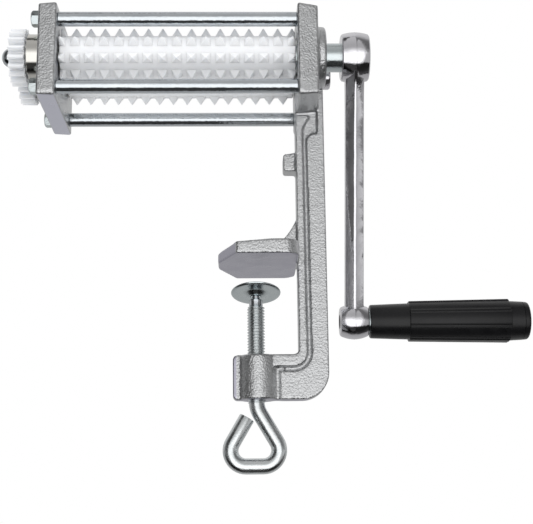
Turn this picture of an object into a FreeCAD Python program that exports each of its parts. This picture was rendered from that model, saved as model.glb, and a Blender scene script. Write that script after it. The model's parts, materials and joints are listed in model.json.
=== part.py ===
"""Table-clamped, hand-cranked machine with two toothed rollers.

Frame of the part, in millimetres: the origin is on the flat underside of the clamp's
jaw, on the clamp screw's axis. +X runs along the rollers towards the crank, +Z is up
and -Y faces the person who turns the crank.
"""
import FreeCAD
import Part

import math
import os

# ---------------------------------------------------------------- driving dimensions
# rollers, gears and their axes
axis_distance = 28.5          # between the two roller axes
axis_z = 116.1                # height of both roller axes
front_y = -axis_distance / 2
rear_y = axis_distance / 2
tooth_tip_r = 16.0            # over the roller's teeth
roller_core_r = 12.05         # between the teeth
tooth_rows = 8                # rows of teeth round a roller
front_teeth = 17              # teeth in a row of the front roller
rear_teeth = 16               # those of the rear roller stand half a pitch aside, so that they interleave
tooth_pitch = 7.96            # along the roller
teeth_middle_x = -42.65       # middle of every row
tooth_base = 5.5              # length of a tooth at its root, along the roller
tooth_half_angle = 13.0       # degrees, half of a tooth's root round the roller
tooth_tip_half_angle = 1.0
tooth_tip_flat = 0.35
front_first_row = 22.5        # degrees from +Y, of one row of each roller
rear_first_row = 144.0
roller_end_gap = 0.8
gear_teeth = 18
gear_module = axis_distance / gear_teeth
pressure_angle = math.radians(20)
gear_backlash = 0.15          # taken off the thickness of every gear tooth
gear_x = (-134.3, -125.7)

# end plates and tie rods
left_plate_x = (-117.8, -107.7)
right_plate_x = (23.6, 35.0)
plate_half_width = 33.45
plate_z = (87.4, 141.1)
tie_rod_r = 4.0
tie_rod_y = 26.25
tie_rod_z = (94.6, 133.9)
stud_r = 3.0                  # end of a tie rod inside the right plate
stud_length = 9.0
screw_r = 2.5                 # M5 screw in the other end of a tie rod
screw_head_flats = 8.0
screw_head_height = 4.4

# shafts and bushes
bearing_r = 5.0               # shafts in the left bushes, and the rear shaft throughout
crank_journal_r = 8.0         # drive shaft in the right plate
running_gap = 0.05            # radial clearance of every shaft in its bush
shaft_flat = 3.9              # distance of a shaft's flats from its axis
left_bush_r = 13.0
left_bush_face_x = -125.2
front_boss_r = 17.0
rear_boss_r = 11.0
boss_face_x = 39.6
rear_nut_r = 7.2
rear_nut_end_x = 44.6

# clamp casting
column_x = (22.8, 38.8)
arm_z = (-73.6, -49.6)
web_half = 3.2                # thin wall of the column and the arm
rib_width = 4.6               # rib along the inner edge
rib_taper = 0.7               # narrower by this at its upper end
rib_top_z = 85.4
rib_flare_z = 78.0            # from here the rib widens towards its upper end
rib_flare_width = 8.5
rib_drop = 1.9                # the rib of the arm is this much wider
rib_half = 6.6
groove_width = 2.5            # between the rib and the outer pad
pad_half = 5.2
outer_corner_r = 14.5
inner_corner_r = 3.0
pad_top_z = 75.0
pad_top_r = 5.0
pad_lean = 1.0                # the pad is this much wider at its upper end
outer_strip = 3.6             # width of the strip that joins the pad to the plate
screw_boss_r = 10.2
screw_boss_x = 0.8            # the boss stands a little off the screw's axis
boss_wall_half = 12.7
jaw_half_width = 32.1
jaw_left_x = -10.4
jaw_nose_x = -20.4
jaw_nose_half = 7.0
jaw_corner_r = 8.0
jaw_thickness = (5.4, 7.8)    # at the nose, and from the gusset on
gusset_start_x = 8.3

# clamp screw: 3/8 inch rod with 16 threads to the inch, its lower end bent to an eye
thread_r = 9.525 / 2
rod_r = 4.22
thread_z = (-75.0, -23.0)
eye_corners = ((0.0, -77.8), (18.0, -108.2), (-20.2, -108.2), (-5.2, -82.6))
eye_radii = (12.0, 8.4, 8.2)
tip_r = 2.5
pad_pivot_z = -17.0
pad_r = 13.55
pad_tilt = -14.5              # degrees about X, as the loose pad hangs

# crank and handle
crank_hub_x = (48.4, 63.8)
crank_end_x = (47.2, 63.2)      # the lower hub stands a little nearer the machine
crank_hub_r = 14.2
crank_end_r = 10.0
crank_length = 147.8
crank_angle = 13.1            # degrees that the arm hangs back from straight down
crank_arm_half = 5.15
crank_arm_depth = 6.0
spindle_r = 4.0
spindle_head_x = (146.3, 148.6)
set_screw_r = 3.0
grip_x = (63.8, 149.6)
cap_end_x = 152.9
grip_rib_pairs = 8
grip_rib_r = 0.5
grip_rib_spread = 4.4         # degrees, from the middle of a pair to each of its ribs

crank_tilt = math.radians(crank_angle)
handle_y = front_y + crank_length * math.sin(crank_tilt)
handle_z = axis_z - crank_length * math.cos(crank_tilt)
x_axis = FreeCAD.Vector(1, 0, 0)
y_axis = FreeCAD.Vector(0, 1, 0)
z_axis = FreeCAD.Vector(0, 0, 1)


# ---------------------------------------------------------------- shape helpers
def vec(x, y, z):
    return FreeCAD.Vector(x, y, z)


def block(x, y, z):
    """Box from three (low, high) pairs."""
    return Part.makeBox(x[1] - x[0], y[1] - y[0], z[1] - z[0], vec(x[0], y[0], z[0]))


def rod_x(radius, x, y, z):
    """Round bar along X between the two values of x."""
    return Part.makeCylinder(radius, x[1] - x[0], vec(x[0], y, z), x_axis)


def rod_z(radius, z, x=0.0, y=0.0):
    return Part.makeCylinder(radius, z[1] - z[0], vec(x, y, z[0]), z_axis)


def turned_x(profile, y, z):
    """Solid turned about the X direction from (x, radius) points, closed on its axis."""
    points = [vec(x, y, z + radius) for x, radius in profile]
    face = Part.Face(Part.makePolygon(points + [points[0]]))
    return face.revolve(vec(0, y, z), x_axis, 360)


def turned_z(profile):
    """Solid turned about the Z axis from (z, radius) points, closed on its axis."""
    points = [vec(radius, 0, z) for z, radius in profile]
    face = Part.Face(Part.makePolygon(points + [points[0]]))
    return face.revolve(vec(0, 0, 0), z_axis, 360)


def corner_arc(back_point, corner, next_point, radius):
    """Start, middle and end of the tangent arc that rounds a corner, and its centre."""
    back = (back_point - corner).normalize()
    ahead = (next_point - corner).normalize()
    half = back.getAngle(ahead) / 2
    bisector = (back + ahead).normalize()
    reach = radius / math.tan(half)
    centre = corner + bisector * (radius / math.sin(half))
    return corner + back * reach, centre - bisector * radius, corner + ahead * reach, centre


def rounded_outline(corners, radii):
    """Closed wire of straight runs and tangent arcs, one radius per corner, 0 for sharp."""
    count = len(corners)
    arcs = []
    for index, radius in enumerate(radii):
        here = corners[index]
        if radius == 0:
            arcs.append((here, here, here))
        else:
            start, middle, end, _ = corner_arc(corners[index - 1], here, corners[(index + 1) % count], radius)
            arcs.append((start, middle, end))
    edges = []
    for index, (start, middle, end) in enumerate(arcs):
        if radii[index] > 0:
            edges.append(Part.Arc(start, middle, end).toShape())
        following = arcs[(index + 1) % count][0]
        if end.distanceToPoint(following) > 1e-6:
            edges.append(Part.LineSegment(end, following).toShape())
    return Part.Wire(edges)


def bent_rod(corners, radii, radius):
    """Round rod along straight runs joined by tangent arcs."""
    last = corners[0]
    edges = []
    for index, bend in enumerate(radii, start=1):
        start, middle, end, _ = corner_arc(corners[index - 1], corners[index], corners[index + 1], bend)
        edges.append(Part.LineSegment(last, start).toShape())
        edges.append(Part.Arc(start, middle, end).toShape())
        last = end
    edges.append(Part.LineSegment(last, corners[-1]).toShape())
    section = Part.makeCircle(radius, corners[0], corners[1] - corners[0])
    return Part.Wire(edges).makePipe(Part.Face(Part.Wire(section)))


def slab_y(corners, radii, half):
    """Plate standing in the XZ plane, from -half to +half in Y."""
    wire = rounded_outline([vec(x, -half, z) for x, z in corners], radii)
    return Part.Face(wire).extrude(vec(0, 2 * half, 0))


def hexagon_x(flats, x, y, z):
    """Hexagonal bar along X, flats is the distance across them."""
    corner_r = flats / math.sqrt(3)
    points = []
    for step in range(7):
        angle = math.radians(60 * step)
        points.append(vec(x[0], y + corner_r * math.cos(angle), z + corner_r * math.sin(angle)))
    return Part.Face(Part.makePolygon(points)).extrude(vec(x[1] - x[0], 0, 0))


def turn(shape, centre, axis, degrees):
    copy = shape.copy()
    copy.rotate(centre, axis, degrees)
    return copy


def save(node, shape):
    if not shape.isValid():
        shape = shape.removeSplitter()
    print(f"{node:22s} valid {shape.isValid()}  solids {len(shape.Solids)}  {shape.Volume:9.0f} mm3")
    shape.exportStep(f"parts/{node}.step")


# ---------------------------------------------------------------- frame
def plate_blank(x, draft):
    """End plate whose narrow faces lean in by draft towards its outer face."""
    low, high = plate_z
    wires = []
    inner_x, outer_x = x
    for place, inset in ((inner_x, 0.0), (outer_x, draft)):
        half = plate_half_width - inset
        wires.append(Part.makePolygon([
            vec(place, -half, low + inset), vec(place, half, low + inset),
            vec(place, half, high - inset), vec(place, -half, high - inset),
            vec(place, -half, low + inset)]))
    plate = Part.makeLoft(wires, True, True)
    return plate.makeFillet(1.0, plate.Edges)


def front_chamfer(x):
    """Wedge that cuts the two-step bevel under the front edge of an end plate."""
    low = plate_z[0]
    face = -plate_half_width
    section = [vec(x[0] - 1, y, z) for y, z in (
        (face - 1, low - 1), (face + 1.9, low - 1), (face + 1.9, low), (face + 0.9, low + 0.8),
        (face, low + 2.7), (face - 1, low + 2.7))]
    wedge = Part.Face(Part.makePolygon(section + [section[0]]))
    return wedge.extrude(vec(x[1] - x[0] + 2, 0, 0))


def tie_rod_places():
    for y in (-tie_rod_y, tie_rod_y):
        for z in tie_rod_z:
            yield y, z


def end_plate():
    plate = plate_blank((left_plate_x[1], left_plate_x[0]), 0.5)
    plate = plate.cut(front_chamfer(left_plate_x))
    for y, z in tie_rod_places():
        plate = plate.cut(rod_x(screw_r, left_plate_x, y, z))
    for y in (front_y, rear_y):
        plate = plate.cut(rod_x(left_bush_r - 3, left_plate_x, y, axis_z))
    return plate


def column_web():
    inner, outer = column_x
    bottom, top = arm_z
    inside_plate = plate_z[0] + 6
    start = boss_wall_half - 4
    corners = ((start, bottom), (outer, bottom), (outer, inside_plate), (inner, inside_plate),
               (inner, top), (start, top))
    radii = (0, outer_corner_r, 0, 0, inner_corner_r, 0)
    return slab_y(corners, radii, web_half)


def column_rib():
    """Raised rib that follows the inner edge of the column and the top of the arm."""
    inner = column_x[0]
    top = arm_z[1]
    low = top - rib_width - rib_drop
    outer = inner + rib_width
    start = screw_boss_r / 2
    corners = ((start, low), (outer, low), (outer - rib_taper, rib_flare_z), (inner + rib_flare_width, rib_top_z),
               (inner, rib_top_z), (inner, top), (start, top))
    radii = (0, inner_corner_r + rib_width, 6.0, 1.0, 1.0, inner_corner_r, 0)
    return slab_y(corners, radii, rib_half)


def column_pad():
    """Raised outer face of the column and the arm, round its corner."""
    inner = column_x[0] + rib_width + groove_width
    outer = column_x[1]
    bottom, top = arm_z
    low = top - rib_width - rib_drop - groove_width
    start = boss_wall_half
    corners = ((start, bottom), (outer, bottom), (outer, pad_top_z), (inner - pad_lean, pad_top_z),
               (inner, low), (start, low))
    radii = (0, outer_corner_r, 0, pad_top_r, inner_corner_r + rib_width + groove_width, 0)
    pad = slab_y(corners, radii, pad_half)
    strip = block((outer - outer_strip, outer), (-pad_half, pad_half), (pad_top_z - pad_top_r, axis_z))
    return pad.fuse(strip)


def jaw():
    """Flat jaw with a blunt nose, thicker towards the column, and its gusset."""
    half = jaw_half_width
    right = column_x[0]
    corners = ((jaw_nose_x, -jaw_nose_half), (jaw_left_x, -half), (right, -half),
               (right, half), (jaw_left_x, half), (jaw_nose_x, jaw_nose_half))
    radii = (3.0, 1.5, jaw_corner_r, jaw_corner_r, 1.5, 3.0)
    outline = rounded_outline([vec(x, y, 0) for x, y in corners], radii)
    blank = Part.Face(outline).extrude(vec(0, 0, 12))
    side = ((jaw_nose_x - 1, -1.0), (right + 1, -1.0), (right + 1, jaw_thickness[1]),
            (gusset_start_x, jaw_thickness[1]), (jaw_nose_x - 1, jaw_thickness[0]))
    profile = slab_y(side, (0,) * len(side), half + 1)
    plate = blank.common(profile)
    thick = jaw_thickness[1]
    foot, toe, head = vec(gusset_start_x - 2, -5, 5), vec(gusset_start_x, -5, thick), vec(right, -5, 26.0)
    gusset_face = Part.Face(Part.Wire([
        Part.LineSegment(vec(right + 1, -5, 5), foot).toShape(),
        Part.LineSegment(foot, toe).toShape(),
        Part.Arc(toe, vec(15.6, -5, 14.4), head).toShape(),
        Part.LineSegment(head, vec(right + 1, -5, 26.0)).toShape(),
        Part.LineSegment(vec(right + 1, -5, 26.0), vec(right + 1, -5, 5)).toShape()]))
    return plate.fuse(gusset_face.extrude(vec(0, 10, 0)))


def screw_boss():
    """Boss round the clamp screw, with the web's rounded end."""
    boss = rod_z(screw_boss_r, arm_z, screw_boss_x)
    edges = [edge for edge in boss.Edges if edge.BoundBox.ZLength < 0.01]
    boss = boss.makeFillet(1.0, edges)
    wall = boss_wall_half
    corners = ((-wall, arm_z[0]), (wall + 2, arm_z[0]), (wall + 2, arm_z[1]), (-wall, arm_z[1]))
    end = slab_y(corners, (2.5, 0, 0, 2.5), 4.0)
    return boss.fuse(end)


def clamp_frame():
    """One casting: crank-side end plate, column, jaw and the arm that holds the screw."""
    plate = plate_blank(right_plate_x, 1.3)
    plate = plate.cut(front_chamfer(right_plate_x))
    front_boss = rod_x(front_boss_r, (right_plate_x[1] - 1, boss_face_x), front_y, axis_z)
    front_boss = front_boss.makeFillet(1.8, [e for e in front_boss.Edges if e.BoundBox.XMin > boss_face_x - 0.1])
    rear_boss = rod_x(rear_boss_r, (right_plate_x[1] - 1, column_x[1]), rear_y, axis_z)
    lug = slab_y(((15.7, 52.9), (24.0, 52.9), (24.0, 63.8), (15.7, 62.6)), (1.5, 0, 0, 1.5), pad_half)
    casting = plate
    for part in (front_boss, rear_boss, column_web(), column_rib(), column_pad(), screw_boss(), jaw(), lug):
        casting = casting.fuse(part)
    for y, z in tie_rod_places():
        casting = casting.cut(rod_x(stud_r, (right_plate_x[0], right_plate_x[0] + stud_length), y, z))
    casting = casting.cut(rod_x(crank_journal_r + 2, (right_plate_x[0], boss_face_x), front_y, axis_z))
    casting = casting.cut(rod_x(bearing_r + 2.5, (right_plate_x[0], boss_face_x), rear_y, axis_z))
    casting = casting.cut(rod_z(thread_r + running_gap, (arm_z[0] - 1, arm_z[1] + 1)))
    return casting.removeSplitter()


def tie_rod(y, z):
    """Bar between the plates, stepped down where it enters the right plate."""
    left = left_plate_x[1]
    right = right_plate_x[0]
    edge = 0.4
    profile = ((left, 0), (left, tie_rod_r - edge), (left + edge, tie_rod_r), (right - edge, tie_rod_r),
               (right, tie_rod_r - edge), (right, stud_r), (right + stud_length, stud_r),
               (right + stud_length, 0))
    return turned_x(profile, y, z).cut(rod_x(screw_r, (left, left + 13.0), y, z))


def tie_rod_screws():
    """Four hexagon-head screws that pull the left plate on to the tie rods."""
    outer = left_plate_x[0]
    screws = []
    for y, z in tie_rod_places():
        head_x = (outer - screw_head_height, outer)
        corner_r = screw_head_flats / math.sqrt(3)
        bevel = turned_x(((head_x[0], 0), (head_x[0], corner_r - 0.9), (head_x[0] + 0.9, corner_r),
                          (outer, corner_r), (outer, 0)), y, z)
        head = hexagon_x(screw_head_flats, head_x, y, z).common(bevel)
        screws.append(head.fuse(rod_x(screw_r, (outer, left_plate_x[1] + 12.0), y, z)))
    return Part.makeCompound(screws)


# ---------------------------------------------------------------- rollers, shafts, gears
def flatted_bore(radius, x, y):
    """Round bar with two flats, the shape of a driving seat on a shaft."""
    bar = rod_x(radius, x, y, axis_z)
    keep = block(x, (y - radius, y + radius), (axis_z - shaft_flat, axis_z + shaft_flat))
    return bar.common(keep)


def roller(y, first_row, teeth):
    """Toothed roller: ridges round the axis, parted into rows by the gaps between them."""
    start = left_plate_x[1] + roller_end_gap
    end = right_plate_x[0] - roller_end_gap
    first = teeth_middle_x - (teeth - 1) / 2 * tooth_pitch
    profile = []
    for index in range(teeth):
        centre = first + index * tooth_pitch
        for offset, radius in ((-tooth_base / 2, roller_core_r), (-tooth_tip_flat / 2, tooth_tip_r),
                               (tooth_tip_flat / 2, tooth_tip_r), (tooth_base / 2, roller_core_r)):
            profile.append((centre + offset, radius))
    ridges = turned_x([(profile[0][0], 0)] + profile + [(profile[-1][0], 0)], y, axis_z)
    half = math.radians(tooth_half_angle)
    tip = math.radians(tooth_tip_half_angle)
    above_tip = tooth_tip_r + 0.5
    star = []
    for row in range(tooth_rows):
        angle = math.radians(first_row + row * 360.0 / tooth_rows)
        for place, radius in ((-half, roller_core_r), (-tip, above_tip), (tip, above_tip), (half, roller_core_r)):
            star.append(vec(start, y + radius * math.cos(angle + place),
                            axis_z + radius * math.sin(angle + place)))
    rows = Part.Face(Part.makePolygon(star + [star[0]])).extrude(vec(end - start, 0, 0))
    core = rod_x(roller_core_r, (start, end), y, axis_z)
    body = ridges.common(rows).fuse(core)
    return body.cut(flatted_bore(bearing_r, (start, end), y)).removeSplitter()


def involute_gear(y, first_tooth):
    """Spur gear with involute flanks, moulded with a sunk face round its hub."""
    pitch_r = gear_module * gear_teeth / 2
    base_r = pitch_r * math.cos(pressure_angle)
    tip_r_gear = pitch_r + gear_module
    root_r = pitch_r - 1.25 * gear_module
    thin = gear_backlash / (2 * pitch_r)
    half_tooth = math.pi / (2 * gear_teeth) - thin
    involute_at_pitch = math.tan(pressure_angle) - pressure_angle
    flank = []
    for step in range(7):
        radius = base_r + (tip_r_gear - base_r) * step / 6
        roll = math.sqrt(max((radius / base_r) ** 2 - 1, 0))
        flank.append((radius, half_tooth + involute_at_pitch - (roll - math.atan(roll))))
    flank.insert(0, (root_r, flank[0][1] + 0.01))
    points = []
    for tooth in range(gear_teeth):
        centre = math.radians(first_tooth) + 2 * math.pi * tooth / gear_teeth
        for radius, angle in flank:
            points.append((radius, centre - angle))
        for radius, angle in reversed(flank):
            points.append((radius, centre + angle))
    outline = [vec(gear_x[0], y + r * math.cos(a), axis_z + r * math.sin(a)) for r, a in points]
    gear = Part.Face(Part.makePolygon(outline + [outline[0]])).extrude(vec(gear_x[1] - gear_x[0], 0, 0))
    sunk = rod_x(root_r - 2.2, (gear_x[0], gear_x[0] + 1.2), y, axis_z)
    hub = rod_x(7.4, (gear_x[0], gear_x[0] + 1.2), y, axis_z)
    gear = gear.cut(sunk.cut(hub))
    return gear.cut(flatted_bore(bearing_r, gear_x, y))


def gear_screw(y):
    """Round-head screw and its washer on the end of a shaft."""
    face = gear_x[0]
    head_r = 5.2
    head_height = 4.4
    washer = 1.4
    dome = [(face - washer - head_height * math.sin(math.radians(a)), head_r * math.cos(math.radians(a)))
            for a in range(0, 91, 10)]
    profile = [(face - washer, 0)] + dome[:-1] + [(face - washer - head_height, 0)]
    head = turned_x(profile, y, axis_z)
    slot = block((face - washer - head_height - 1, face - washer - head_height + 1.5), (y - 0.6, y + 0.6),
                 (axis_z - head_r, axis_z + head_r))
    disc = rod_x(6.5, (face - washer, face), y, axis_z)
    shank = rod_x(2.5, (face, face + 12.0), y, axis_z)
    return head.cut(slot).fuse(disc).fuse(shank)


def shaft(y, stations):
    """Shaft from (end x, radius or None for a flatted seat) stations, tapped for the gear's screw."""
    start = gear_x[0]
    body = None
    for end, radius in stations:
        span = (start, end)
        piece = flatted_bore(bearing_r, span, y) if radius is None else rod_x(radius, span, y, axis_z)
        body = piece if body is None else body.fuse(piece)
        start = end
    tapped = rod_x(2.5, (gear_x[0], gear_x[0] + 14.0), y, axis_z)
    return body.cut(tapped).removeSplitter()


def drive_shaft():
    roller_start = left_plate_x[1] + roller_end_gap
    roller_end = right_plate_x[0] - roller_end_gap
    return shaft(front_y, ((gear_x[1], None), (roller_start, bearing_r), (roller_end, None),
                           (crank_hub_x[0], crank_journal_r), (crank_hub_x[1] - 0.8, crank_journal_r - 2)))


def rear_shaft():
    roller_start = left_plate_x[1] + roller_end_gap
    roller_end = right_plate_x[0] - roller_end_gap
    return shaft(rear_y, ((gear_x[1], None), (roller_start, bearing_r), (roller_end, None),
                          (rear_nut_end_x - 1.6, bearing_r)))


def left_bush(y):
    """Flanged bush that carries a shaft in the left plate."""
    flange_edge = 0.6
    bore = bearing_r + running_gap
    profile = ((left_bush_face_x, bore), (left_bush_face_x, left_bush_r - flange_edge),
               (left_bush_face_x + flange_edge, left_bush_r), (left_plate_x[0], left_bush_r),
               (left_plate_x[0], left_bush_r - 3), (left_plate_x[1], left_bush_r - 3),
               (left_plate_x[1], bore))
    return turned_x(profile, y, axis_z)


def right_bush(y, shaft_radius, wall):
    span = (right_plate_x[0], boss_face_x if y < 0 else column_x[1])
    sleeve = rod_x(shaft_radius + wall, span, y, axis_z)
    return sleeve.cut(rod_x(shaft_radius + running_gap, span, y, axis_z))


def rear_shaft_nut():
    """Round cap nut on the crank side of the rear shaft."""
    start = column_x[1] + 0.4
    end = rear_nut_end_x
    profile = ((start, 0), (start, rear_nut_r - 0.4), (start + 0.4, rear_nut_r), (end - 1.2, rear_nut_r),
               (end - 0.4, rear_nut_r - 0.5), (end, rear_nut_r - 1.6), (end, 0))
    return turned_x(profile, rear_y, axis_z).cut(rod_x(bearing_r, (start, end - 1.6), rear_y, axis_z))


# ---------------------------------------------------------------- crank and handle
def barrel(x, y, z, radius, shoulder):
    """Crowned hub: an arc along its length between two bevelled shoulders."""
    low, high = x
    middle = (low + high) / 2
    crown = radius - shoulder
    outline = Part.Wire([
        Part.LineSegment(vec(low, y, z), vec(low, y, z + crown - 0.8)).toShape(),
        Part.LineSegment(vec(low, y, z + crown - 0.8), vec(low + 0.8, y, z + crown)).toShape(),
        Part.Arc(vec(low + 0.8, y, z + crown), vec(middle, y, z + radius),
                 vec(high - 0.8, y, z + crown)).toShape(),
        Part.LineSegment(vec(high - 0.8, y, z + crown), vec(high, y, z + crown - 0.8)).toShape(),
        Part.LineSegment(vec(high, y, z + crown - 0.8), vec(high, y, z)).toShape(),
        Part.LineSegment(vec(high, y, z), vec(low, y, z)).toShape()])
    return Part.Face(outline).revolve(vec(0, y, z), x_axis, 360)


def crank_arm():
    """Forged crank: barrel hubs joined by an arm with a ridge down its front and back."""
    middle = sum(crank_hub_x) / 2
    end_middle = sum(crank_end_x) / 2
    end_z = axis_z - crank_length
    top = barrel(crank_hub_x, front_y, axis_z, crank_hub_r, 1.1)
    bottom = barrel(crank_end_x, front_y, end_z, crank_end_r, 1.6)
    edge = crank_arm_depth - 3.2
    outline = ((-crank_arm_half, -edge), (-1.0, -crank_arm_depth), (1.0, -crank_arm_depth),
               (crank_arm_half, -edge), (crank_arm_half, edge), (1.0, crank_arm_depth),
               (-1.0, crank_arm_depth), (-crank_arm_half, edge))
    points = [vec(end_middle + x, front_y + y, end_z + crank_end_r / 2) for x, y in outline]
    arm = Part.Face(Part.makePolygon(points + [points[0]]))
    arm = arm.extrude(vec(middle - end_middle, 0, crank_length - crank_end_r / 2 - crank_hub_r / 2))
    crank = top.fuse(bottom).fuse(arm)
    crank = crank.cut(rod_x(crank_journal_r - 2, crank_hub_x, front_y, axis_z))
    crank = crank.cut(rod_x(spindle_r, crank_end_x, front_y, end_z))
    screw_hole = Part.makeCylinder(set_screw_r, crank_hub_r + 1, vec(middle, front_y, axis_z), y_axis)
    crank = crank.cut(screw_hole)
    return turn(crank, vec(0, front_y, axis_z), x_axis, crank_angle).removeSplitter()


def crank_set_screw():
    """Grub screw in the back of the crank's hub, with a hexagon socket."""
    middle = (crank_hub_x[0] + crank_hub_x[1]) / 2
    start = crank_journal_r - 2
    end = crank_hub_r - 1.6
    screw = Part.makeCylinder(set_screw_r, end - start, vec(middle, front_y + start, axis_z), y_axis)
    corner_r = set_screw_r / math.sqrt(3)
    points = []
    for step in range(7):
        angle = math.radians(60 * step)
        points.append(vec(middle + corner_r * math.cos(angle), front_y + end,
                          axis_z + corner_r * math.sin(angle)))
    socket = Part.Face(Part.makePolygon(points)).extrude(vec(0, -3.0, 0))
    return turn(screw.cut(socket), vec(0, front_y, axis_z), x_axis, crank_angle)


def handle_spindle():
    """Shoulder pin that the grip turns on, riveted into the crank's lower hub."""
    pin = rod_x(spindle_r, (crank_end_x[0], spindle_head_x[0]), handle_y, handle_z)
    return pin.fuse(rod_x(spindle_r + 2.5, spindle_head_x, handle_y, handle_z))


def handle_washer():
    span = (crank_end_x[1], crank_end_x[1] + 0.5)
    ring = rod_x(7.0, span, handle_y, handle_z)
    return ring.cut(rod_x(spindle_r, span, handle_y, handle_z))


def handle_grip():
    """Moulded grip: plain neck, a sleeve with pairs of ribs and a plain collar at its end."""
    start, end = grip_x
    sleeve = (start + 22.0, start + 78.0)
    sleeve_r = (11.0, 11.95)
    profile = ((start, 0), (start, 9.0), (start + 0.4, 9.4), (sleeve[0] - 0.2, 10.15), (sleeve[0], sleeve_r[0]),
               (sleeve[1], sleeve_r[1]), (sleeve[1] + 0.4, 11.1), (end, 10.75), (end, 0))
    grip = turned_x(profile, handle_y, handle_z)
    bore = rod_x(spindle_r + running_gap, (start, end), handle_y, handle_z)
    recess = rod_x(spindle_r + 3.2, (spindle_head_x[0] - 0.3, end), handle_y, handle_z)
    grip = grip.cut(bore).cut(recess)
    for pair in range(grip_rib_pairs):
        for side in (-grip_rib_spread, grip_rib_spread):
            angle = math.radians(360.0 * (pair + 0.5) / grip_rib_pairs + side)
            ends = [vec(x, handle_y + radius * math.cos(angle), handle_z + radius * math.sin(angle))
                    for x, radius in zip((sleeve[0] + 0.3, sleeve[1] - 0.3), sleeve_r)]
            way = ends[1] - ends[0]
            grip = grip.fuse(Part.makeCylinder(grip_rib_r, way.Length, ends[0], way))
    return grip.removeSplitter()


def handle_end_cap():
    """Domed plug that closes the grip over the head of the spindle."""
    start = grip_x[1]
    profile = ((start - 0.7, 0), (start - 0.7, spindle_r + 3.2), (start, spindle_r + 3.2), (start, 10.75),
               (cap_end_x - 1.6, 10.6), (cap_end_x - 0.5, 10.1), (cap_end_x, 8.8), (cap_end_x, 0))
    return turned_x(profile, handle_y, handle_z)


# ---------------------------------------------------------------- clamp screw
def clamp_screw():
    """Threaded rod whose lower end is bent round to a triangular eye."""
    low, high = thread_z
    thread = turned_z(((low, 0), (low, rod_r + 0.1), (low + 0.7, thread_r), (high - 0.9, thread_r),
                       (high, thread_r - 0.9), (high, 0)))
    tip = turned_z(((high - 1.0, 0), (high - 1.0, tip_r), (-21.8, tip_r), (-21.5, tip_r - 0.5),
                    (-20.7, tip_r - 0.5), (-20.4, tip_r), (-19.6, tip_r), (-19.2, tip_r - 0.4), (-19.2, 0)))
    inside_thread = vec(0, 0, low + 5.0)
    eye = bent_rod([inside_thread] + [vec(x, 0, z) for x, z in eye_corners], eye_radii, rod_r)
    return thread.fuse(tip).fuse(eye).removeSplitter()


def swivel_collar():
    """Crimped collar that turns on the screw's tip and carries the pad on its rivet head."""
    outer = 3.75
    bore = tip_r + running_gap
    body = turned_z(((-22.6, bore), (-22.6, outer - 0.3), (-22.2, outer), (-19.2, outer), (-18.4, 2.1),
                     (-15.4, 2.0), (-15.15, 2.8), (-14.7, 2.8), (-14.5, 2.3), (-14.5, 0), (-19.0, 0),
                     (-19.0, bore), (-20.45, bore), (-20.75, bore - 0.45), (-21.45, bore - 0.45),
                     (-21.75, bore)))
    return body


def pressure_pad():
    """Dished disc, loose on its rivet, that bears on the underside of the table."""
    pivot = pad_pivot_z
    disc = turned_z(((pivot - 0.6, 2.7), (pivot - 0.6, 4.3), (pivot + 1.3, 7.2), (pivot + 1.4, 12.6),
                     (pivot + 1.7, 13.2), (pivot + 2.2, pad_r), (pivot + 2.6, pad_r - 0.2),
                     (pivot + 2.6, 6.8), (pivot + 0.6, 3.9), (pivot + 0.6, 2.7)))
    return turn(disc, vec(0, 0, pivot), x_axis, pad_tilt)


# ---------------------------------------------------------------- every node
def main():
    os.makedirs("parts", exist_ok=True)
    save("clamp_frame", clamp_frame())
    save("end_plate", end_plate())
    for y, side in ((-tie_rod_y, "front"), (tie_rod_y, "rear")):
        for z, level in zip(tie_rod_z, ("bottom", "top")):
            save(f"tie_rod_{side}_{level}", tie_rod(y, z))
    save("tie_rod_screws", tie_rod_screws())
    save("front_roller", roller(front_y, front_first_row, front_teeth))
    save("rear_roller", roller(rear_y, rear_first_row, rear_teeth))
    save("drive_shaft", drive_shaft())
    save("rear_shaft", rear_shaft())
    save("drive_gear", involute_gear(front_y, 0.0))
    save("driven_gear", involute_gear(rear_y, 180.0 / gear_teeth))
    save("front_gear_screw", gear_screw(front_y))
    save("rear_gear_screw", gear_screw(rear_y))
    save("front_left_bush", left_bush(front_y))
    save("rear_left_bush", left_bush(rear_y))
    save("front_right_bush", right_bush(front_y, crank_journal_r, 2.0))
    save("rear_right_bush", right_bush(rear_y, bearing_r, 2.5))
    save("rear_shaft_nut", rear_shaft_nut())
    save("crank_arm", crank_arm())
    save("crank_set_screw", crank_set_screw())
    save("handle_spindle", handle_spindle())
    save("handle_washer", handle_washer())
    save("handle_grip", handle_grip())
    save("handle_end_cap", handle_end_cap())
    save("clamp_screw", clamp_screw())
    save("swivel_collar", swivel_collar())
    save("pressure_pad", pressure_pad())


main()
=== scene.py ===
import json
import math

import bmesh
import bpy
from mathutils import Matrix, Vector


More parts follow.
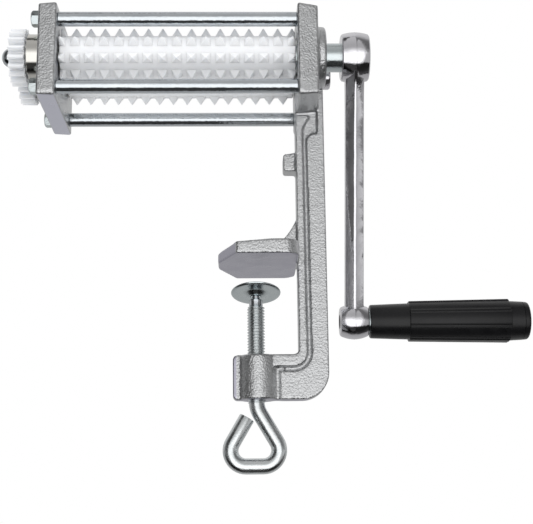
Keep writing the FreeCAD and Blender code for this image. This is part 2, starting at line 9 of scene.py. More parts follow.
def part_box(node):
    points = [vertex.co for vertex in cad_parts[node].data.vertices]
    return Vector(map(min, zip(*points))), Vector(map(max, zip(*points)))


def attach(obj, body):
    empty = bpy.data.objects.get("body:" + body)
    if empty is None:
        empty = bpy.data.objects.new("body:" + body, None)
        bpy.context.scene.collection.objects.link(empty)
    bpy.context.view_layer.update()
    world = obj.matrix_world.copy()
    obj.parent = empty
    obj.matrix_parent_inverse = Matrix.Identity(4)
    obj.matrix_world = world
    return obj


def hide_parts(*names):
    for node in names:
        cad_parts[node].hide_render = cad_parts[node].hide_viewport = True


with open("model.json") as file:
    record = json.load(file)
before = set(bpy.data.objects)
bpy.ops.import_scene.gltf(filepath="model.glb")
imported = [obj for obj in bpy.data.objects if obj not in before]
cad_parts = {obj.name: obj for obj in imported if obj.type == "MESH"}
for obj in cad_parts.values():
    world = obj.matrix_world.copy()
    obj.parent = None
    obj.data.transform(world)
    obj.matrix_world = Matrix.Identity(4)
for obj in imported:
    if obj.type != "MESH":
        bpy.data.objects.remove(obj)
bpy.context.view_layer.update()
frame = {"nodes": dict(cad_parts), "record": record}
mm = 0.001
weld = 1e-6  # points nearer than this, in metres, become one
roundSteps = 96  # steps round a large turned shape
print("frame loaded:", len(frame["nodes"]), "nodes")


def hexColour(text):
    # sRGB hex to the linear colour that the shaders want
    channels = [int(text[i:i + 2], 16) / 255 for i in (1, 3, 5)]
    return [c / 12.92 if c <= 0.04045 else ((c + 0.055) / 1.055) ** 2.4 for c in channels] + [1.0]


def addNode(tree, kind, settings=None, links=None):
    # one node, with its settings and the sockets that feed it
    node = tree.nodes.new(kind)
    for key, value in (settings or {}).items():
        if isinstance(key, int) or key in node.inputs:
            node.inputs[key].default_value = value
        else:
            setattr(node, key, value)
    for key, source in (links or {}).items():
        tree.links.new(source, node.inputs[key])
    return node


def makeFinish(name, look):
    # two tones in soft patches, a roughness that follows them, and up to three reliefs in real millimetres
    material = bpy.data.materials.new(name)
    material.use_nodes = True
    tree = material.node_tree
    shader = tree.nodes["Principled BSDF"]
    for socket, value in look["sockets"].items():
        shader.inputs[socket].default_value = value
    place = addNode(tree, "ShaderNodeTexCoord").outputs["Object"]
    patches = addNode(tree, "ShaderNodeTexNoise", {"Scale": 1 / (look["patch"] * mm), "Detail": 3.0},
                      {"Vector": place})
    tones = addNode(tree, "ShaderNodeMix", {"data_type": "RGBA", 6: hexColour(look["tones"][0]),
                                            7: hexColour(look["tones"][1])}, {0: patches.outputs["Fac"]})
    tree.links.new(tones.outputs[2], shader.inputs["Base Color"])
    low, high = look["roughness"]
    worn = addNode(tree, "ShaderNodeMapRange",
                   {"From Min": 0.3, "From Max": 0.7, "To Min": low, "To Max": high},
                   {"Value": patches.outputs["Fac"]})
    tree.links.new(worn.outputs["Result"], shader.inputs["Roughness"])
    normal = None
    for size, height, stretch in look["relief"]:
        along = addNode(tree, "ShaderNodeMapping", {"Scale": [share / (size * mm) for share in stretch]},
                        {"Vector": place})
        bumps = addNode(tree, "ShaderNodeTexNoise", {"Scale": 1.0, "Detail": 2.0},
                        {"Vector": along.outputs[0]})
        raised = addNode(tree, "ShaderNodeBump", {"Strength": 1.0, "Distance": height * mm},
                         {"Height": bumps.outputs["Fac"]})
        if normal:
            tree.links.new(normal, raised.inputs["Normal"])
        normal = raised.outputs["Normal"]
    tree.links.new(normal, shader.inputs["Normal"])
    return material


# every relief is the size and height of its marks in millimetres, and how closely they repeat along
# X, Y and Z: 0.08 draws them out to twelve times their size. All were chosen, none was measured
even = (1, 1, 1)
# aluminium as cast in the mould, then tumbled: bright grey with a grainy sparkle and soft hollows
castAluminium = makeFinish("castAluminium", dict(
    tones=("#B9BABB", "#DCDDDE"), patch=7.0, roughness=(0.27, 0.41), sockets={"Metallic": 1.0},
    relief=((1.0, 0.38, even), (4.5, 0.2, even))))
# the same aluminium ground on a belt: flat violet grey with faint lines along the machine
linishedAluminium = makeFinish("linishedAluminium", dict(
    tones=("#A3A2AE", "#B9B8C4"), patch=12.0, roughness=(0.24, 0.36), sockets={"Metallic": 1.0},
    relief=((0.9, 0.03, (0.08, 1, 1)), (6.0, 0.1, even))))
# the same belt-ground aluminium with its grey painted brighter and colder, as painted light on the end plate's
# underside; the same faint lines
linishedPaintedLighter = makeFinish("linishedAluminiumPaintedLight", dict(
    tones=("#D3D4E1", "#E1E2EE"), patch=12.0, roughness=(0.24, 0.36), sockets={"Metallic": 1.0},
    relief=((0.9, 0.03, (0.08, 1, 1)), (6.0, 0.1, even))))
# steel bar, drawn and nickel plated: a mirror with slightly broken reflections
nickelBar = makeFinish("nickelPlatedBar", dict(
    tones=("#BFC5CA", "#D8DCDF"), patch=14.0, roughness=(0.08, 0.16), sockets={"Metallic": 1.0},
    relief=((1.3, 0.075, (0.6, 1, 1)),)))
# rolled steel, zinc plated: cool grey, softer reflections than nickel
zincPlate = makeFinish("zincPlatedSteel", dict(
    tones=("#B9C2C5", "#D6DCDC"), patch=5.0, roughness=(0.14, 0.28), sockets={"Metallic": 1.0},
    relief=((1.2, 0.035, even),)))
# steel rod, zinc plated after bending: brighter and grainier than the sheet
zincBar = makeFinish("zincPlatedBar", dict(
    tones=("#D3D9DB", "#ECEEEE"), patch=6.0, roughness=(0.18, 0.32), sockets={"Metallic": 1.0},
    relief=((1.0, 0.06, even),)))
# steel turned on a lathe and polished: bright, with fine rings round the X axis
turnedSteel = makeFinish("turnedSteel", dict(
    tones=("#CFCDC8", "#DEDCD6"), patch=8.0, roughness=(0.1, 0.18), sockets={"Metallic": 1.0},
    relief=((0.5, 0.008, (1, 0.05, 0.05)),)))
# chrome plate over a rough forging: dark and bright bands that waver
chromePlate = makeFinish("chromePlatedForging", dict(
    tones=("#CFCED2", "#E2E1E5"), patch=10.0, roughness=(0.06, 0.14), sockets={"Metallic": 1.0},
    relief=((24.0, 1.4, even), (6.0, 0.12, even), (1.1, 0.04, even))))
# acetal, injection moulded: milky white that lets light in a few millimetres
acetal = makeFinish("mouldedAcetal", dict(
    tones=("#DEE0E3", "#E9EAEC"), patch=11.0, roughness=(0.34, 0.44),
    sockets={"IOR": 1.48, "Subsurface Weight": 0.2, "Subsurface Radius": (2.4, 2.6, 2.9),
             "Subsurface Scale": 0.001, "Specular IOR Level": 0.4}, relief=((2.5, 0.02, even),)))
# black polypropylene, injection moulded: deep black with a soft satin edge light
blackPolypropylene = makeFinish("mouldedPolypropylene", dict(
    tones=("#0B0B0D", "#121214"), patch=9.0, roughness=(0.26, 0.38),
    sockets={"IOR": 1.49, "Specular IOR Level": 0.36}, relief=((0.8, 0.014, even), (7.0, 0.05, even))))
# steel blackened in hot salts: the dull black of a set screw
blackOxide = makeFinish("blackOxideSteel", dict(
    tones=("#1B1B1D", "#242427"), patch=3.0, roughness=(0.35, 0.5), sockets={"Metallic": 0.7},
    relief=((0.6, 0.01, even),)))
print("finishes made")


def makePiece(name, bm, materials, body, slotName, *nodes):
    # a finished mesh, riding on its body in place of its plain nodes
    mesh = meshOf(name, bm)
    for material in materials:
        mesh.materials.append(material)
    piece = bpy.data.objects.new(name, mesh)
    bpy.context.scene.collection.objects.link(piece)
    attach(piece, body)
    if nodes:
        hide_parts(*nodes)
    return piece


def smoothBy(bm, degrees):
    # smooth shading, broken at edges sharper than the given angle
    for face in bm.faces:
        face.smooth = True
    for edge in bm.edges:
        if len(edge.link_faces) == 2 and edge.calc_face_angle(0) > math.radians(degrees):
            edge.smooth = False


def spun(places, centre, axis, steps):
    # closed shape turned from an outline that closes on itself or on its axis
    bm = bmesh.new()
    verts = [bm.verts.new(place) for place in places]
    edges = [bm.edges.new(pair) for pair in zip(verts, verts[1:])]
    bmesh.ops.spin(bm, geom=verts + edges, cent=centre, axis=axis, angle=2 * math.pi, steps=steps,
                   use_merge=True)
    bmesh.ops.remove_doubles(bm, verts=bm.verts, dist=weld)
    bmesh.ops.recalc_face_normals(bm, faces=bm.faces)
    return bm


def spunAboutX(profile, y, z, steps):
    # turned about an axis along X, from (x, radius) points in metres
    return spun([(x, y, z + radius) for x, radius in profile], (0, y, z), (1, 0, 0), steps)


def spunAboutZ(profile, steps):
    # turned about the clamp screw's axis, from (z, radius) points in millimetres
    return spun([(radius * mm, 0, z * mm) for z, radius in profile], (0, 0, 0), (0, 0, 1), steps)


def softened(bm, voxel, rounds):
    # one even skin over everything in bm, its edges rounded as a mould rounds them
    rough = bpy.data.objects.new("rough", meshOf("rough", bm))
    bpy.context.scene.collection.objects.link(rough)
    skin = rough.modifiers.new("skin", "REMESH")
    skin.mode = "VOXEL"
    skin.voxel_size = voxel
    ease = rough.modifiers.new("ease", "SMOOTH")
    ease.iterations = rounds
    ease.factor = 0.5
    done = bpy.data.meshes.new_from_object(rough.evaluated_get(bpy.context.evaluated_depsgraph_get()))
    bpy.data.objects.remove(rough)
    result = bmesh.new()
    result.from_mesh(done)
    for face in result.faces:
        face.smooth = True
    return result


def copyOfNode(node):
    bm = bmesh.new()
    bm.from_mesh(frame["nodes"][node].data)
    bmesh.ops.remove_doubles(bm, verts=bm.verts, dist=weld)
    return bm


def shaftAxis(body):
    # where a body's shaft stands, from the joint that turns it
    joint = next(j for j in frame["record"]["behaviour"]["joints"] if j["child"] == body)
    return joint["pos_m"][1], joint["pos_m"][2]


def withEdges(faces):
    # an extrusion leaves nothing behind when it is told of its edges too
    return faces + list(dict.fromkeys(edge for face in faces for edge in face.edges))


def move(bm, faces, step):
    corners = list(dict.fromkeys(vert for face in faces for vert in face.verts))
    bmesh.ops.translate(bm, vec=step, verts=corners)


def facesOf(items):
    return [item for item in items if isinstance(item, bmesh.types.BMFace)]


def cutOff(bm, place, outward):
    # flat end, closed: what lies beyond the place on its outward side goes
    cut = bmesh.ops.bisect_plane(bm, geom=bm.verts[:] + bm.edges[:] + bm.faces[:], dist=1e-7,
                                 plane_co=place, plane_no=outward, clear_outer=True)
    rim = [item for item in cut["geom_cut"] if isinstance(item, bmesh.types.BMEdge)]
    bmesh.ops.holes_fill(bm, edges=rim, sides=0)


def meshOf(name, bm):
    mesh = bpy.data.meshes.new(name)
    bm.to_mesh(mesh)
    bm.free()
    return mesh


def paintNode(node, material):
    # a plain node that keeps its shape and gets a real finish
    mesh = frame["nodes"][node].data
    mesh.materials.clear()
    mesh.materials.append(material)


# three eighths of an inch, with 16 threads to the inch; the eye's corners are in millimetres
screwShape = dict(outer=9.525 / 2 * mm, root=3.95 * mm, hole=4.95 * mm, pitch=25.4 / 16 * mm,
                  top=-23.0 * mm, bottom=-75.0 * mm, rod=4.2 * mm, endBevel=0.35 * mm,
                  corners=((0.0, -77.8), (18.0, -108.2), (-20.2, -108.2), (-5.2, -82.6)),
                  bends=(12.0, 8.4, 8.2), bendSteps=14, steps=40,
                  # one pitch of the thread: share of the pitch, and the radius there
                  profile=((0.0, "root"), (0.38, "outer"), (0.52, "outer"), (0.9, "root"), (1.0, "root")),
                  tip=((-23.4, 0), (-23.4, 3.9), (-22.9, 2.5), (-19.6, 2.5), (-19.2, 2.1), (-19.2, 0)))


groundFacing = dict(down=-0.9, upright=0.6)


def isGround(face, casting):
    # undersides that were flattened on the belt, and the jaw's blunt nose
    centre = face.calc_center_median()
    level = any(low * mm < centre.z < high * mm for low, high in casting["groundLevels"])
    under = face.normal.z < groundFacing["down"] and level
    nose = centre.x < casting["groundNose"] * mm and abs(face.normal.z) < groundFacing["upright"]
    return under or nose


def makeCasting(name, node, casting):
    bm = softened(copyOfNode(node), casting["voxel"], casting["rounds"])
    # the hole that carries the clamp screw is made round again, and wide enough for the thread to clear
    for vert in bm.verts:
        ring = math.hypot(vert.co.x, vert.co.y)
        if vert.co.z < casting["holeTop"] * mm and 0 < ring < screwShape["hole"]:
            vert.co.x *= screwShape["hole"] / ring
            vert.co.y *= screwShape["hole"] / ring
    for face in bm.faces:
        if isGround(face, casting):
            face.material_index = 1
    return makePiece(name, bm, [castAluminium, casting["ground"]], "frame", "cast_aluminium", node)


# levels, nose and hole are places in millimetres, -1000 where a casting has none
castings = dict(
    clampFrame=dict(voxel=0.62 * mm, rounds=4, groundLevels=((-0.4, 0.4), (-74.0, -73.2)),
                    groundNose=-10.9, holeTop=-40.0, ground=linishedAluminium),
    # the end plate's underside gets the linished finish in a brighter grey: painted light, not a different
    # grind
    leftEndPlate=dict(voxel=0.55 * mm, rounds=4, groundLevels=((87.0, 89.2),), groundNose=-1000.0,
                      holeTop=-1000.0, ground=linishedPaintedLighter))
makeCasting("clampCasting", "clamp_frame", castings["clampFrame"])
makeCasting("leftEndPlate", "end_plate", castings["leftEndPlate"])
print("castings made")


rollerShape = dict(core=12.05 * mm, tip=15.98 * mm, pitch=7.96 * mm, middle=-42.65 * mm, base=5.5 * mm,
                   rows=8, halfAngle=13.0, crest=(0.5 * mm, 0.6 * mm), bevel=0.14 * mm, chamfer=0.5 * mm,
                   sunk=0.1 * mm, fillet=(0.3 * mm, 0.1 * mm), endGap=0.02 * mm,
                   front=dict(firstRow=22.5, perRow=17), rear=dict(firstRow=144.0, perRow=16))


def makeTooth():
    # one pyramid tooth standing on Z, bevelled as it leaves the mould
    shape = rollerShape
    bm = bmesh.new()
    bmesh.ops.create_cube(bm, size=1.0)
    width = 2 * shape["core"] * math.sin(math.radians(shape["halfAngle"]))
    foot = shape["core"] * math.cos(math.radians(shape["halfAngle"])) - shape["sunk"]
    for vert in bm.verts:
        top = vert.co.z > 0
        root = (shape["base"] + shape["fillet"][0], width + shape["fillet"][1])
        along, across = shape["crest"] if top else root
        vert.co = Vector((vert.co.x * along, vert.co.y * across, shape["tip"] if top else foot))
    sides = [edge for edge in bm.edges if max(v.co.z for v in edge.verts) > foot + mm]
    bmesh.ops.bevel(bm, geom=sides, offset=shape["bevel"], segments=2, profile=0.5, affect="EDGES",
                    material=-1, clamp_overlap=True)
    smoothBy(bm, 30)
    return meshOf("tooth", bm)


def makeRoller(name, node, body, teeth, tooth):
    shape = rollerShape
    perRow = teeth["perRow"]
    low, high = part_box(node)
    y, z = shaftAxis(body)
    stations = [shape["middle"] + (i - (perRow - 1) / 2) * shape["pitch"] for i in range(perRow)]
    core, chamfer = shape["core"], shape["chamfer"]
    bm = spunAboutX([(low.x, 0.0), (low.x, core - chamfer), (low.x + chamfer, core), (high.x - chamfer, core),
                     (high.x, core - chamfer), (high.x, 0.0)], y, z, roundSteps)
    smoothBy(bm, 25)
    for row in range(shape["rows"]):
        # rows are counted from +Y towards +Z, and the tooth stands on +Z
        turned = Matrix.Rotation(math.radians(teeth["firstRow"] + row * 360 / shape["rows"] - 90), 4, "X")
        for x in stations:
            placed = tooth.copy()
            placed.transform(Matrix.Translation((x, y, z)) @ turned)
            bm.from_mesh(placed)
            bpy.data.meshes.remove(placed)
    # the end teeth stop at the roller's ends
    cutOff(bm, (low.x + shape["endGap"], 0, 0), (-1, 0, 0))
    cutOff(bm, (high.x - shape["endGap"], 0, 0), (1, 0, 0))
    return makePiece(name, bm, [acetal], body, "white_plastic", node)


tooth = makeTooth()
makeRoller("frontRoller", "front_roller", "crank_drive", rollerShape["front"], tooth)
makeRoller("rearRoller", "rear_roller", "rear_drive", rollerShape["rear"], tooth)
print("rollers made")


gearShape = dict(bevel=0.22 * mm, flatWithin=1.0, sharpFrom=45.0, smoothTo=32.0)


def makeGear(name, node, body):
    # the outlines of both faces are eased, as a mould leaves them
    shape = gearShape
    bm = copyOfNode(node)
    bmesh.ops.dissolve_limit(bm, angle_limit=math.radians(shape["flatWithin"]), verts=bm.verts,
                             edges=bm.edges)
    sharp = [edge for edge in bm.edges if len(edge.link_faces) == 2
             and edge.calc_face_angle(0) > math.radians(shape["sharpFrom"])
             and abs(edge.verts[0].co.x - edge.verts[1].co.x) < weld]
    bmesh.ops.bevel(bm, geom=sharp, offset=shape["bevel"], segments=2, profile=0.5, affect="EDGES",
                    material=-1, clamp_overlap=True)
    smoothBy(bm, shape["smoothTo"])
    return makePiece(name, bm, [acetal], body, "white_plastic", node)


makeGear("driveGear", "drive_gear", "crank_drive")
makeGear("drivenGear", "driven_gear", "rear_drive")
print("gears made")


def threadedLength():
    # the thread's profile climbs one pitch a turn
    shape = screwShape
    pitch = shape["pitch"]
    turns = math.ceil((shape["top"] - shape["bottom"]) / pitch) + 3
    start = shape["bottom"] - 2 * pitch
    bm = bmesh.new()
    verts = [bm.verts.new((shape[radius], 0, start + share * pitch)) for share, radius in shape["profile"]]
    edges = [bm.edges.new(pair) for pair in zip(verts, verts[1:])]
    bmesh.ops.spin(bm, geom=verts + edges, cent=(0, 0, 0), axis=(0, 0, 1), angle=2 * math.pi * turns,
                   dvec=(0, 0, pitch / shape["steps"]), steps=turns * shape["steps"], use_merge=False)
    bmesh.ops.remove_doubles(bm, verts=bm.verts, dist=weld)
    cutOff(bm, (0, 0, shape["bottom"]), (0, 0, -1))
    cutOff(bm, (0, 0, shape["top"]), (0, 0, 1))
    bmesh.ops.recalc_face_normals(bm, faces=bm.faces)
    smoothBy(bm, 28)
    return bm


def bentRod():
    # blank rod below the thread: straight runs are extruded, bends are spun
    shape = screwShape
    bm = bmesh.new()
    corners = [Vector((0, 0, shape["bottom"] + 2 * mm))]
    corners += [Vector((x, 0, z)) * mm for x, z in shape["corners"]]
    ring = bmesh.ops.create_circle(bm, cap_ends=True, segments=32, radius=shape["rod"],
                                   matrix=Matrix.Translation(corners[0]))["verts"]
    section = list(dict.fromkeys(face for vert in ring for face in vert.link_faces))
    last = corners[0]
    for index, bend in enumerate(shape["bends"], start=1):
        back = (corners[index - 1] - corners[index]).normalized()
        ahead = (corners[index + 1] - corners[index]).normalized()
        half = back.angle(ahead) / 2
        reach = bend * mm / math.tan(half)
        start = corners[index] + back * reach
        middle = corners[index] + (back + ahead).normalized() * bend * mm / math.sin(half)
        section = facesOf(bmesh.ops.extrude_face_region(bm, geom=withEdges(section))["geom"])
        move(bm, section, start - last)
        sense = (start - middle).cross(-back).normalized()
        bent = bmesh.ops.spin(bm, geom=withEdges(section), cent=middle, axis=sense, angle=math.pi - 2 * half,
                              steps=shape["bendSteps"])
        section = facesOf(bent["geom_last"])
        last = corners[index] + ahead * reach
    section = facesOf(bmesh.ops.extrude_face_region(bm, geom=withEdges(section))["geom"])
    move(bm, section, corners[-1] - last)
    rim = list(dict.fromkeys(edge for face in section for edge in face.edges))
    bmesh.ops.bevel(bm, geom=rim, offset=shape["endBevel"], segments=2, profile=0.5, affect="EDGES",
                    material=-1)
    bmesh.ops.remove_doubles(bm, verts=bm.verts, dist=weld)
    bmesh.ops.recalc_face_normals(bm, faces=bm.faces)
    smoothBy(bm, 35)
    return bm


def makeClampScrew():
    # rod, thread and tip are closed shapes that overlap a little
    rod = bentRod()
    tip = spunAboutZ(screwShape["tip"], 32)
    smoothBy(tip, 35)
    bm = threadedLength()
    bm.from_mesh(meshOf("rod", rod))
    bm.from_mesh(meshOf("tip", tip))
    return makePiece("clampScrewThreaded", bm, [zincBar], "clamp_screw", "zinc_steel", "clamp_screw")


# heights on the screw's axis and radii, in millimetres
collarShape = dict(flats=10, flatDepth=0.93, flatFrom=3.3,
                   outline=((-22.6, 0), (-22.6, 3.4), (-22.2, 3.75), (-20.6, 3.6), (-19.3, 3.72),
                            (-18.9, 3.4), (-18.3, 2.15), (-15.4, 2.0), (-15.15, 2.8), (-14.75, 2.75),
                            (-14.5, 2.2), (-14.5, 0)))


def makeCollar():
    # sleeve crimped on to the tip: flats round it, drawn in to a rivet that holds the pad
    shape = collarShape
    bm = spunAboutZ(shape["outline"], 2 * shape["flats"])
    for vert in bm.verts:
        ring = math.hypot(vert.co.x, vert.co.y)
        turn = round(math.atan2(vert.co.y, vert.co.x) / (math.pi / shape["flats"]))
        if ring > shape["flatFrom"] * mm and turn % 2:
            vert.co.x *= shape["flatDepth"]
            vert.co.y *= shape["flatDepth"]
    smoothBy(bm, 20)
    return makePiece("crimpedCollar", bm, [nickelBar], "screw_swivel", "zinc_steel", "swivel_collar")


# heights from the pivot and radii, in millimetres; the tilt is the one that the node hangs at
padShape = dict(pivot=-17.0, tilt=-14.5,
                outline=((-0.6, 2.7), (-0.6, 4.1), (-0.3, 4.6), (1.0, 6.0), (1.45, 6.9), (1.5, 8.0),
                         (1.3, 11.6), (1.35, 12.5), (1.6, 13.1), (2.0, 13.45), (2.35, 13.5), (2.55, 13.3),
                         (2.6, 13.0), (2.6, 6.9), (2.3, 6.0), (0.9, 4.3), (0.6, 3.7), (0.6, 2.7), (-0.6, 2.7)))


def makePad():
    # pressed disc with a rolled rim and a sunk middle
    shape = padShape
    bm = spunAboutZ([(shape["pivot"] + z, radius) for z, radius in shape["outline"]], roundSteps)
    tilt = Matrix.Rotation(math.radians(shape["tilt"]), 4, "X")
    at = Matrix.Translation((0, 0, shape["pivot"] * mm))
    bmesh.ops.transform(bm, matrix=at @ tilt @ at.inverted(), verts=bm.verts)
    smoothBy(bm, 40)
    return makePiece("dishedPad", bm, [zincPlate], "pad", "zinc_steel", "pressure_pad")


makeClampScrew()
makeCollar()
makePad()
print("clamp screw made")


crankShape = dict(length=147.8 * mm, tilt=13.1, halfWidth=5.15 * mm, ridgeHalf=0.55 * mm, lean=0.9 * mm,
                  bevel=0.5 * mm, hubReach=14.6 * mm, partingHalf=0.4 * mm, partingHigh=0.09 * mm,
                  topHub=dict(radius=14.1 * mm, shoulder=1.1 * mm, waist=0.7 * mm),
                  lowHub=dict(radius=9.9 * mm, shoulder=1.7 * mm, waist=0.8 * mm), hubEdge=0.6 * mm,
                  # millimetres below the top hub's axis, depth of the ridge, depth of the edge
                  sections=((5.5, 12.8, 7.6), (8.5, 11.6, 6.6), (12.0, 9.7, 5.4), (20.0, 7.4, 3.8),
                            (30.0, 6.3, 3.1), (45.0, 6.0, 2.9), (100.0, 5.7, 2.8), (130.0, 5.7, 2.8),
                            (138.5, 6.2, 3.3), (144.0, 7.4, 4.2)))


def hubShell(ends, y, z, hub):
    # crowned barrel between two bevelled shoulders, with a faint parting line round its middle
    shape = crankShape
    first, last = ends
    middle = (first + last) / 2
    half = (last - first) / 2 - shape["hubEdge"]
    neck = hub["radius"] - hub["shoulder"] - hub["waist"]
    places = [part / 5 for part in range(-5, 6)]
    crown = [(middle + place * half, hub["radius"] - hub["shoulder"] * place * place) for place in places]
    crown[5:6] = [(middle - shape["partingHalf"], hub["radius"]),
                  (middle, hub["radius"] + shape["partingHigh"]),
                  (middle + shape["partingHalf"], hub["radius"])]
    return spunAboutX([(first, 0.0), (first, neck)] + crown + [(last, neck), (last, 0.0)], y, z, roundSteps)


def armShell(middle, y, z):
    # the arm between the hubs: a ridge down its front and back
    shape = crankShape
    half, top = shape["halfWidth"], shape["ridgeHalf"]
    bm = bmesh.new()
    loops = []
    for below, ridge, edge in shape["sections"]:
        shift = middle - shape["lean"] * below * mm / shape["length"]
        corners = ((-half, -edge * mm), (-top, -ridge * mm), (top, -ridge * mm), (half, -edge * mm),
                   (half, edge * mm), (top, ridge * mm), (-top, ridge * mm), (-half, edge * mm))
        ring = [bm.verts.new((shift + across, y + deep, z - below * mm)) for across, deep in corners]
        loops.append([bm.edges.new(pair) for pair in zip(ring, ring[1:] + ring[:1])])
    for upper, lower in zip(loops, loops[1:]):
        bmesh.ops.bridge_loops(bm, edges=upper + lower)
    bmesh.ops.contextual_create(bm, geom=loops[0])
    bmesh.ops.contextual_create(bm, geom=loops[-1])
    bmesh.ops.recalc_face_normals(bm, faces=bm.faces)
    along = [edge for edge in bm.edges if abs(edge.verts[0].co.z - edge.verts[1].co.z) > 2 * mm]
    bmesh.ops.bevel(bm, geom=along, offset=shape["bevel"], segments=3, profile=0.5, affect="EDGES",
                    material=-1, clamp_overlap=True)
    return bm


def unionOf(shells):
    # closed shells made one, with no walls left inside
    objects = []
    for shell in shells:
        objects.append(bpy.data.objects.new("shell", meshOf("shell", shell)))
        bpy.context.scene.collection.objects.link(objects[-1])
    for other in objects[1:]:
        join = objects[0].modifiers.new("join", "BOOLEAN")
        join.operation = "UNION"
        join.solver = "EXACT"
        join.object = other
    done = bpy.data.meshes.new_from_object(objects[0].evaluated_get(bpy.context.evaluated_depsgraph_get()))
    for shell in objects:
        bpy.data.objects.remove(shell)
    result = bmesh.new()
    result.from_mesh(done)
    return result


def makeCrank():
    # modelled hanging straight down, then swung to where its node hangs
    shape = crankShape
    y, z = shaftAxis("crank_drive")
    top = (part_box("drive_shaft")[1].x - shape["hubReach"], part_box("crank_arm")[1].x)
    lower = (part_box("handle_spindle")[0].x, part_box("handle_washer")[0].x)
    bm = unionOf([hubShell(top, y, z, shape["topHub"]),
                  hubShell(lower, y, z - shape["length"], shape["lowHub"]),
                  armShell((top[0] + top[1]) / 2, y, z)])
    at = Matrix.Translation((0, y, z))
    hang = at @ Matrix.Rotation(math.radians(shape["tilt"]), 4, "X") @ at.inverted()
    bmesh.ops.transform(bm, matrix=hang, verts=bm.verts)
    bmesh.ops.recalc_face_normals(bm, faces=bm.faces)
    smoothBy(bm, 24)
    return makePiece("crankForging", bm, [chromePlate], "crank_drive", "chrome", "crank_arm")


makeCrank()
print("crank made")


gripShape = dict(pairs=8, spread=4.4, ribHalf=2.0, ribHigh=0.45 * mm, around=360,
                 bore=4.1 * mm, recess=7.2 * mm, recessFrom=82.2 * mm,
                 # millimetres along the grip, and radius
                 neck=((0.0, 8.7), (0.3, 9.2), (0.9, 9.4), (21.6, 10.15), (21.8, 10.4)),
                 sleeve=((21.9, 10.9), (22.3, 11.0), (77.5, 11.95), (77.9, 11.8)),
                 collar=((78.1, 11.15), (78.6, 11.1), (85.6, 10.75), (85.75, 10.55), (85.75, 7.3)))


def ribAt(turn):
    # how much of a rib stands at this angle: pairs of ribs, evenly round the sleeve
    shape = gripShape
    step = 360 / shape["pairs"]
    fromPair = (turn % step) - step / 2
    fromRib = abs(abs(fromPair) - shape["spread"])
    return math.cos(math.pi / 2 * fromRib / shape["ribHalf"]) if fromRib < shape["ribHalf"] else 0.0


def makeGrip():
    shape = gripShape
    y, z = shaftAxis("handle")
    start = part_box("handle_grip")[0].x
    recessStart = start + shape["recessFrom"]
    outside = [(start + along * mm, radius * mm)
               for along, radius in shape["neck"] + shape["sleeve"] + shape["collar"]]
    bm = spunAboutX([(start, shape["bore"])] + outside + [(recessStart, shape["recess"]),
                    (recessStart, shape["bore"]), (start, shape["bore"])], y, z, shape["around"])
    first, last = (start + shape["sleeve"][i][0] * mm for i in (0, -1))
    neckTop = shape["neck"][-1][1] * mm
    for vert in bm.verts:
        ring = math.hypot(vert.co.y - y, vert.co.z - z)
        if ring > neckTop and first - weld < vert.co.x < last + weld:
            turn = math.degrees(math.atan2(vert.co.z - z, vert.co.y - y))
            more = 1 + shape["ribHigh"] * ribAt(turn) / ring
            vert.co.y = y + (vert.co.y - y) * more
            vert.co.z = z + (vert.co.z - z) * more
    smoothBy(bm, 30)
    return makePiece("ribbedGrip", bm, [blackPolypropylene], "handle", "black_plastic", "handle_grip")


capShape = dict(plug=7.1 * mm, radius=10.7 * mm, lip=0.1 * mm, corner=1.5 * mm, taper=0.15 * mm,
                short=0.02 * mm)


def makeEndCap():
    # plug that carries the collar's line on and rounds over to a flat end
    shape = capShape
    y, z = shaftAxis("handle")
    low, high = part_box("handle_end_cap")
    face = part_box("handle_grip")[1].x
    end = high.x - shape["short"]
    outline = [(low.x, 0.0), (low.x, shape["plug"]), (face, shape["plug"]),
               (face, shape["radius"] - shape["lip"]), (face + shape["lip"], shape["radius"])]
    for degrees in range(0, 91, 15):
        angle = math.radians(degrees)
        outline.append((end - shape["corner"] * (1 - math.sin(angle)),
                        shape["radius"] - shape["taper"] - shape["corner"] * (1 - math.cos(angle))))
    bm = spunAboutX(outline + [(end, 0.0)], y, z, roundSteps)
    smoothBy(bm, 35)
    return makePiece("gripEndCap", bm, [blackPolypropylene], "handle", "black_plastic", "handle_end_cap")


makeGrip()
makeEndCap()
print("handle made")


nodeFinishes = dict(
    tie_rod_front_bottom=nickelBar, tie_rod_front_top=nickelBar, tie_rod_rear_bottom=nickelBar,
    tie_rod_rear_top=nickelBar, tie_rod_screws=zincPlate, drive_shaft=zincPlate, rear_shaft=zincPlate,
    front_gear_screw=nickelBar, rear_gear_screw=nickelBar, front_left_bush=turnedSteel,
    rear_left_bush=turnedSteel, front_right_bush=turnedSteel, rear_right_bush=turnedSteel,
    rear_shaft_nut=chromePlate, crank_set_screw=blackOxide, handle_spindle=zincPlate, handle_washer=zincPlate)
for node, material in nodeFinishes.items():
    paintNode(node, material)
print("nodes painted:", len(nodeFinishes))


studio = dict(floorLevel=-0.42, floorRadius=5.0, paper="#F4F4F4",
              # degrees above straight ahead of the object, and the brightness that mirrors see there
              heights=((-180, 0.36), (-150, 0.34), (-112, 0.3), (-98, 0.04), (-46, 0.03), (-38, 1.0),
                       (2, 1.0), (13, 0.6), (26, 0.34), (42, 0.32), (75, 0.4), (110, 0.5), (150, 0.46),
                       (180, 0.36)),
              # degrees round from straight ahead towards the crank, and the share of that brightness
              bearings=((-180, 1.0), (-115, 0.85), (-88, 0.3), (-66, 0.08), (-38, 0.12), (-30, 1.0),
                        (28, 1.0), (36, 0.34), (60, 0.3), (82, 0.5), (115, 0.85), (180, 1.0)),
              surroundStrength=1.55,
              # where each lamp stands, where it aims, its sides in metres and its watts
              lamps=dict(softAbove=((-0.3, -0.9, 1.1), (0, 0, 0.05), (1.2, 0.8), 7),
                         softRight=((1.2, -0.6, 0.3), (0, 0, 0.03), (0.8, 0.8), 3)))


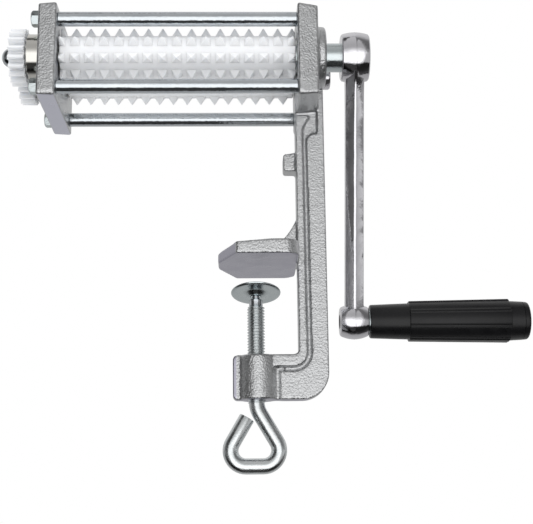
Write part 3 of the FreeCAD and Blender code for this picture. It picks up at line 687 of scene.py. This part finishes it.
def makeFloor():
    bm = bmesh.new()
    bmesh.ops.create_circle(bm, cap_ends=True, segments=roundSteps, radius=studio["floorRadius"],
                            matrix=Matrix.Translation((0, 0, studio["floorLevel"])))
    mesh = meshOf("studioFloor", bm)
    # painted board: matt and pale
    material = bpy.data.materials.new("paleBoard")
    material.use_nodes = True
    shader = material.node_tree.nodes["Principled BSDF"]
    shader.inputs["Base Color"].default_value = hexColour(studio["paper"])
    shader.inputs["Roughness"].default_value = 0.9
    mesh.materials.append(material)
    floor = bpy.data.objects.new("studioFloor", mesh)
    bpy.context.scene.collection.objects.link(floor)
    floor.visible_glossy = False


def brightnessRamp(tree, across, ahead, stops):
    # brightness by angle: across and ahead are the two sides of the angle
    angle = addNode(tree, "ShaderNodeMath", {"operation": "ARCTAN2"}, {0: across, 1: ahead})
    share = addNode(tree, "ShaderNodeMapRange", {"From Min": -math.pi, "From Max": math.pi},
                    {"Value": angle.outputs[0]})
    ramp = addNode(tree, "ShaderNodeValToRGB", {}, {"Fac": share.outputs["Result"]})
    elements = ramp.color_ramp.elements
    for degrees, level in stops[1:-1]:
        elements.new(degrees / 360 + 0.5).color = (level, level, level, 1)
    for element, (degrees, level) in ((elements[0], stops[0]), (elements[-1], stops[-1])):
        element.color = (level, level, level, 1)
    return ramp.outputs["Color"]


def makeSurround():
    # white room for the eye and for matt things
    # mirrors see a soft light ahead, shade below it and grey above
    world = bpy.data.worlds.new("studioSurround")
    bpy.context.scene.world = world
    world.use_nodes = True
    tree = world.node_tree
    towards = addNode(tree, "ShaderNodeTexCoord").outputs["Generated"]
    parts = addNode(tree, "ShaderNodeSeparateXYZ", {}, {0: towards}).outputs
    ahead = addNode(tree, "ShaderNodeMath", {"operation": "MULTIPLY", 1: -1.0}, {0: parts["Y"]}).outputs[0]
    upright = brightnessRamp(tree, parts["Z"], ahead, studio["heights"])
    around = brightnessRamp(tree, parts["X"], ahead, studio["bearings"])
    mirrored = addNode(tree, "ShaderNodeVectorMath", {"operation": "MULTIPLY"}, {0: upright, 1: around})
    stronger = addNode(tree, "ShaderNodeVectorMath",
                       {"operation": "SCALE", "Scale": studio["surroundStrength"]}, {0: mirrored.outputs[0]})
    path = addNode(tree, "ShaderNodeLightPath").outputs
    plain = addNode(tree, "ShaderNodeMath", {"operation": "MAXIMUM"},
                    {0: path["Is Camera Ray"], 1: path["Is Diffuse Ray"]})
    seen = addNode(tree, "ShaderNodeMix", {"data_type": "RGBA", 7: (1, 1, 1, 1)},
                   {0: plain.outputs[0], 6: stronger.outputs[0]})
    tree.links.new(seen.outputs[2], tree.nodes["Background"].inputs["Color"])


def addSoftLight(name, place, aim, size, power):
    light = bpy.data.lights.new(name, "AREA")
    light.shape = "RECTANGLE"
    light.size, light.size_y = size
    light.energy = power
    lamp = bpy.data.objects.new(name, light)
    bpy.context.scene.collection.objects.link(lamp)
    lamp.location = place
    lamp.rotation_euler = (Vector(aim) - Vector(place)).to_track_quat("-Z", "Y").to_euler()
    # only matt surfaces are lit by it: mirrors are left to the surround
    lamp.visible_glossy = False


def addCamera():
    # a long lens, in front of the object and a little below it
    view = dict(lens=77.34, place=(-0.0099, -0.6118, -0.1400), pitch=13.09, yaw=-1.49, roll=0.63)
    camera = bpy.data.objects.new("camera", bpy.data.cameras.new("camera"))
    bpy.context.scene.collection.objects.link(camera)
    camera.data.lens = view["lens"]
    camera.data.sensor_width = 36.0
    look = (Matrix.Rotation(math.radians(view["yaw"]), 4, "Z")
            @ Matrix.Rotation(math.radians(view["pitch"]), 4, "X")
            @ Matrix.Rotation(math.radians(view["roll"]), 4, "Y"))
    stand = Matrix.Rotation(math.radians(90), 4, "X")
    camera.matrix_world = Matrix.Translation(view["place"]) @ look @ stand
    bpy.context.scene.camera = camera


makeFloor()
makeSurround()
for name, lamp in studio["lamps"].items():
    addSoftLight(name, *lamp)
addCamera()
bpy.context.scene.view_settings.view_transform = "Standard"
print("studio made")
